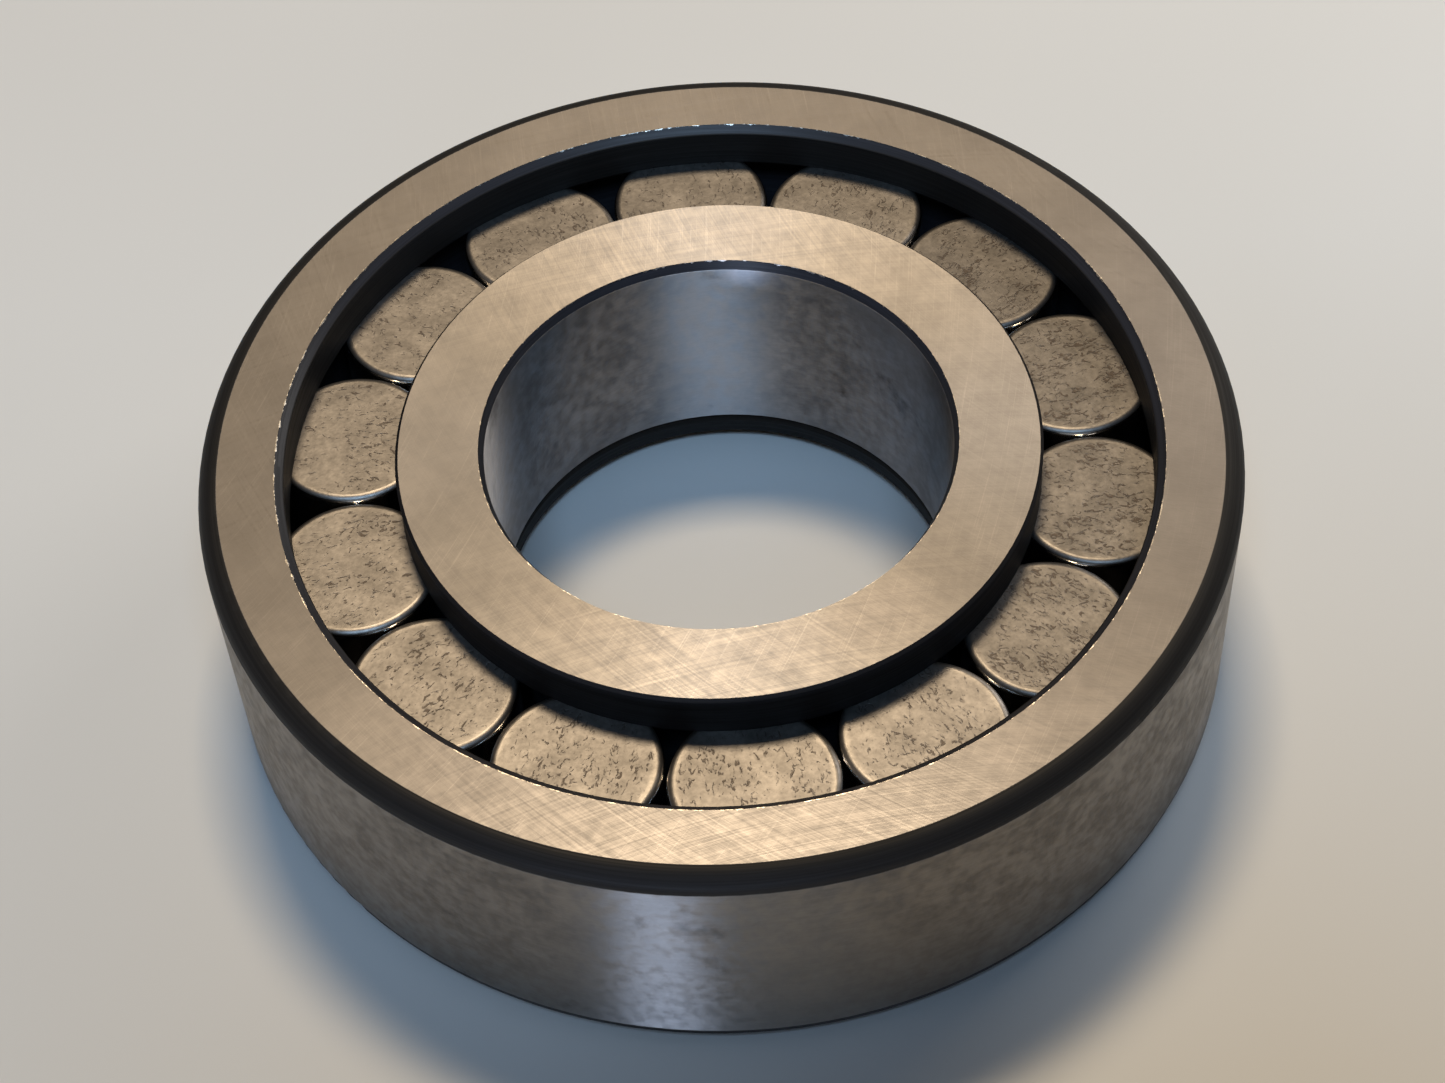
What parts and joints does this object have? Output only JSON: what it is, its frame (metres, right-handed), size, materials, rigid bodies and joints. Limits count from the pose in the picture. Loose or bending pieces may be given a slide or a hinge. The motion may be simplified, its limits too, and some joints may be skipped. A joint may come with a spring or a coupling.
{
  "type": "cylindrical roller bearing",
  "caption": "Single-row cylindrical roller bearing filled with rollers and no cage: two-rib outer ring, one-rib inner ring, loose flange ring below it, plain bore.",
  "frame": {"origin": "on the bearing's axis, in the plane of the lower side faces", "axes": "+Z along the bearing's axis, from the loose flange ring's side towards the inner ring's fixed rib; X and Y are radial"},
  "size_m": [0.1, 0.1, 0.0275],
  "materials": {
    "outer_ring": "ground",
    "inner_ring": "ground",
    "flange_ring": "ground faces, turned bore",
    "roller": "polished sides, tumbled ends"
  },
  "bodies": {
    "outer_ring": {"outer_ring": "outer_ring"},
    "inner_ring": {"inner_ring": "inner_ring", "flange_ring": "flange_ring"},
    "roller_01": {"roller_01": "roller"},
    "roller_02": {"roller_02": "roller"},
    "roller_03": {"roller_03": "roller"},
    "roller_04": {"roller_04": "roller"},
    "roller_05": {"roller_05": "roller"},
    "roller_06": {"roller_06": "roller"},
    "roller_07": {"roller_07": "roller"},
    "roller_08": {"roller_08": "roller"},
    "roller_09": {"roller_09": "roller"},
    "roller_10": {"roller_10": "roller"},
    "roller_11": {"roller_11": "roller"},
    "roller_12": {"roller_12": "roller"},
    "roller_13": {"roller_13": "roller"},
    "roller_14": {"roller_14": "roller"}
  },
  "joints": [
    {"name": "inner_ring_spin", "type": "hinge", "parent": "outer_ring", "child": "inner_ring", "pos_m": [0, 0, 0.01375], "axis": [0, 0, 1], "continuous": true},
    {"name": "roller_orbit", "type": "hinge", "parent": "outer_ring", "child": "roller_01", "pos_m": [0, 0, 0.01375], "axis": [0, 0, 1], "continuous": true},
    {"name": "roller_02_spin", "type": "hinge", "parent": "roller_01", "child": "roller_02", "pos_m": [0.02767, 0.02365, 0.01375], "axis": [0, 0, 1], "continuous": true},
    {"name": "roller_03_spin", "type": "hinge", "parent": "roller_01", "child": "roller_03", "pos_m": [0.01467, 0.03331, 0.01375], "axis": [0, 0, 1], "continuous": true},
    {"name": "roller_04_spin", "type": "hinge", "parent": "roller_01", "child": "roller_04", "pos_m": [-0.00123, 0.03638, 0.01375], "axis": [0, 0, 1], "continuous": true},
    {"name": "roller_05_spin", "type": "hinge", "parent": "roller_01", "child": "roller_05", "pos_m": [-0.0169, 0.03224, 0.01375], "axis": [0, 0, 1], "continuous": true},
    {"name": "roller_06_spin", "type": "hinge", "parent": "roller_01", "child": "roller_06", "pos_m": [-0.02921, 0.02172, 0.01375], "axis": [0, 0, 1], "continuous": true},
    {"name": "roller_07_spin", "type": "hinge", "parent": "roller_01", "child": "roller_07", "pos_m": [-0.03574, 0.00689, 0.01375], "axis": [0, 0, 1], "continuous": true},
    {"name": "roller_08_spin", "type": "hinge", "parent": "roller_01", "child": "roller_08", "pos_m": [-0.03519, -0.0093, 0.01375], "axis": [0, 0, 1], "continuous": true},
    {"name": "roller_09_spin", "type": "hinge", "parent": "roller_01", "child": "roller_09", "pos_m": [-0.02767, -0.02365, 0.01375], "axis": [0, 0, 1], "continuous": true},
    {"name": "roller_10_spin", "type": "hinge", "parent": "roller_01", "child": "roller_10", "pos_m": [-0.01467, -0.03331, 0.01375], "axis": [0, 0, 1], "continuous": true},
    {"name": "roller_11_spin", "type": "hinge", "parent": "roller_01", "child": "roller_11", "pos_m": [0.00123, -0.03638, 0.01375], "axis": [0, 0, 1], "continuous": true},
    {"name": "roller_12_spin", "type": "hinge", "parent": "roller_01", "child": "roller_12", "pos_m": [0.0169, -0.03224, 0.01375], "axis": [0, 0, 1], "continuous": true},
    {"name": "roller_13_spin", "type": "hinge", "parent": "roller_01", "child": "roller_13", "pos_m": [0.02921, -0.02172, 0.01375], "axis": [0, 0, 1], "continuous": true},
    {"name": "roller_14_spin", "type": "hinge", "parent": "roller_01", "child": "roller_14", "pos_m": [0.03574, -0.00689, 0.01375], "axis": [0, 0, 1], "continuous": true}
  ],
  "couplings": [
    {"joint": "roller_orbit", "follows": "inner_ring_spin", "ratio": 0.39011},
    {"joint": "roller_02_spin", "follows": "inner_ring_spin", "ratio": -2.1652},
    {"joint": "roller_03_spin", "follows": "inner_ring_spin", "ratio": -2.1652},
    {"joint": "roller_04_spin", "follows": "inner_ring_spin", "ratio": -2.1652},
    {"joint": "roller_05_spin", "follows": "inner_ring_spin", "ratio": -2.1652},
    {"joint": "roller_06_spin", "follows": "inner_ring_spin", "ratio": -2.1652},
    {"joint": "roller_07_spin", "follows": "inner_ring_spin", "ratio": -2.1652},
    {"joint": "roller_08_spin", "follows": "inner_ring_spin", "ratio": -2.1652},
    {"joint": "roller_09_spin", "follows": "inner_ring_spin", "ratio": -2.1652},
    {"joint": "roller_10_spin", "follows": "inner_ring_spin", "ratio": -2.1652},
    {"joint": "roller_11_spin", "follows": "inner_ring_spin", "ratio": -2.1652},
    {"joint": "roller_12_spin", "follows": "inner_ring_spin", "ratio": -2.1652},
    {"joint": "roller_13_spin", "follows": "inner_ring_spin", "ratio": -2.1652},
    {"joint": "roller_14_spin", "follows": "inner_ring_spin", "ratio": -2.1652}
  ]
}
